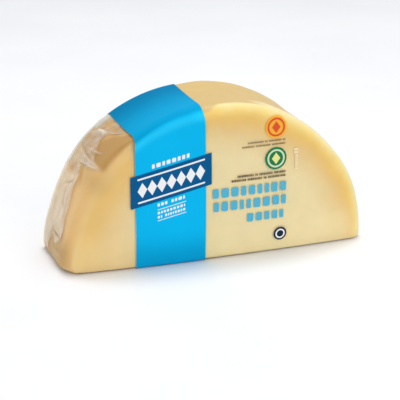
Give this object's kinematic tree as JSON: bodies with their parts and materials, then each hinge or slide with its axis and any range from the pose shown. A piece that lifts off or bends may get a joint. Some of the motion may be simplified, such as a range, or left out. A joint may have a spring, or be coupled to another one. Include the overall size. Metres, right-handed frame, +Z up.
{
  "type": "vacuum-packed half provolone cheese",
  "caption": "Half-moon of pale yellow provolone cheese sealed in clear film, standing on its flat cut side, with a printed band over the front, top and back.",
  "frame": {"origin": "middle of the pack's box, on the flat face that it stands on", "axes": "+X along the flat cut side, towards the right end seen from the printed face; +Y through the thickness, away from the printed face; +Z up"},
  "size_m": [0.2063, 0.0696, 0.1036],
  "materials": {
    "cheese_in_film": "pale yellow cheese with a golden rim, under tight clear film that is milky where it is gathered",
    "label_band": "sky blue print on satin film, with a dark blue slanted panel"
  },
  "bodies": {
    "root": {"cheese_in_film": "cheese_in_film", "label_band": "label_band"}
  },
  "joints": []
}
